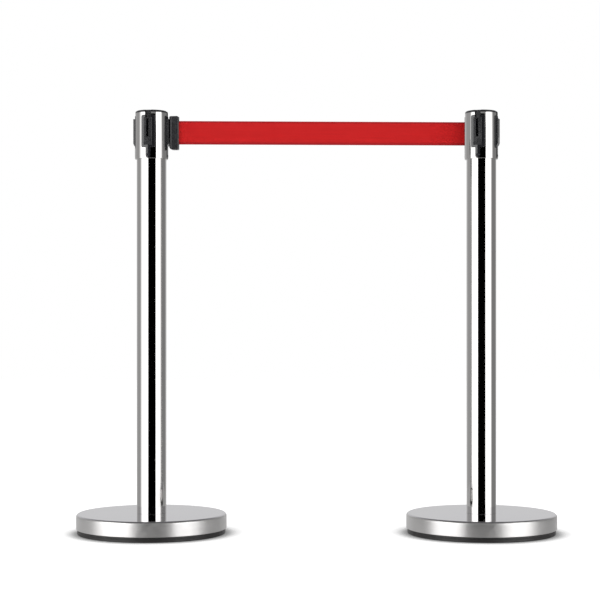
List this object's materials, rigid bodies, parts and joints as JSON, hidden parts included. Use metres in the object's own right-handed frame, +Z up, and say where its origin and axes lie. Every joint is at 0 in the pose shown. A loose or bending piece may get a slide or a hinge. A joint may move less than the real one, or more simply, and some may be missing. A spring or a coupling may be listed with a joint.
{
  "type": "retractable belt stanchion pair",
  "caption": "Free-standing polished steel queue posts on weighted round bases, joined by a sprung red belt that winds into a head with clip-in receivers.",
  "frame": {"origin": "on the floor, midway between the axes of the two posts", "axes": "+X from the left post to the right post along the belt, +Y away from a person who faces the belt, +Z up"},
  "size_m": [1.024, 0.32, 0.9],
  "materials": {
    "polished_steel": "mirror-polished stainless steel",
    "cast_iron": "rough cast, black primer",
    "rubber": "matt moulded rubber",
    "black_plastic": "glossy moulded plastic",
    "case_plastic": "matt moulded plastic",
    "spool_plastic": "matt acetal",
    "bush_plastic": "natural nylon",
    "spring_steel": "blued spring steel",
    "mild_steel": "turned steel",
    "zinc_steel": "zinc-plated steel",
    "black_screw": "blackened steel",
    "red_webbing": "woven polyester webbing"
  },
  "bodies": {
    "right_stanchion": {"right_base_cover": "polished_steel", "right_base_weight": "cast_iron", "right_floor_ring": "rubber", "right_clamp_bolt": "zinc_steel", "right_clamp_washer": "zinc_steel", "right_foot_plug": "mild_steel", "right_tube": "polished_steel", "right_head_shell": "polished_steel", "right_top_cap": "black_plastic", "right_head_screws": "black_screw", "right_belt_mouth": "black_plastic", "right_cassette_body": "case_plastic", "right_cassette_lid": "case_plastic", "right_spindle": "mild_steel", "right_spindle_screw": "zinc_steel", "right_receiver_front": "black_plastic", "right_receiver_right": "black_plastic", "right_receiver_back": "black_plastic", "right_belt_run": "red_webbing"},
    "right_spool": {"right_spool": "spool_plastic", "right_spool_bushes": "bush_plastic", "right_clock_spring": "spring_steel", "right_spring_cover": "spool_plastic", "right_belt_roll": "red_webbing"},
    "left_stanchion": {"left_base_cover": "polished_steel", "left_base_weight": "cast_iron", "left_floor_ring": "rubber", "left_clamp_bolt": "zinc_steel", "left_clamp_washer": "zinc_steel", "left_foot_plug": "mild_steel", "left_tube": "polished_steel", "left_head_shell": "polished_steel", "left_top_cap": "black_plastic", "left_head_screws": "black_screw", "left_belt_mouth": "black_plastic", "left_cassette_body": "case_plastic", "left_cassette_lid": "case_plastic", "left_spindle": "mild_steel", "left_spindle_screw": "zinc_steel", "left_receiver_left": "black_plastic", "left_receiver_front": "black_plastic", "left_receiver_right": "black_plastic", "right_belt_end": "red_webbing"},
    "left_spool": {"left_spool": "spool_plastic", "left_spool_bushes": "bush_plastic", "left_clock_spring": "spring_steel", "left_spring_cover": "spool_plastic", "left_belt_roll": "red_webbing"},
    "hooked_clip": {"right_clip": "black_plastic", "right_clip_pin": "mild_steel"},
    "parked_clip": {"left_clip": "black_plastic", "left_clip_pin": "mild_steel", "left_belt_parked": "red_webbing"}
  },
  "joints": [
    {"name": "post_spacing", "type": "slide", "parent": "right_stanchion", "child": "left_stanchion", "axis": [-1, 0, 0], "range_m": [-0.3, 1.2], "deforming": ["right_belt_run", "right_belt_roll"]},
    {"name": "right_spool_turn", "type": "hinge", "parent": "right_stanchion", "child": "right_spool", "pos_m": [0.352, 0, 0.8535], "axis": [0, 0, 1], "range_deg": [-3506, 892], "deforming": ["right_clock_spring"]},
    {"name": "clip_lift", "type": "slide", "parent": "left_stanchion", "child": "hooked_clip", "axis": [0, 0, 1], "range_m": [0, 0.06], "deforming": ["right_belt_end"]},
    {"name": "left_belt_pull", "type": "slide", "parent": "left_stanchion", "child": "parked_clip", "axis": [0.134, 0.991, 0], "range_m": [0, 1.8], "stiffness_N_per_m": 2, "springref_m": -2, "deforming": ["left_belt_parked", "left_belt_roll"]},
    {"name": "left_spool_turn", "type": "hinge", "parent": "left_stanchion", "child": "left_spool", "pos_m": [-0.352, 0, 0.8535], "axis": [0, 0, 1], "range_deg": [-4651, 0], "deforming": ["left_clock_spring"]}
  ],
  "couplings": [
    {"joint": "right_spool_turn", "follows": "post_spacing", "rad_per_m": -50.7},
    {"joint": "left_spool_turn", "follows": "left_belt_pull", "rad_per_m": -44.9}
  ]
}
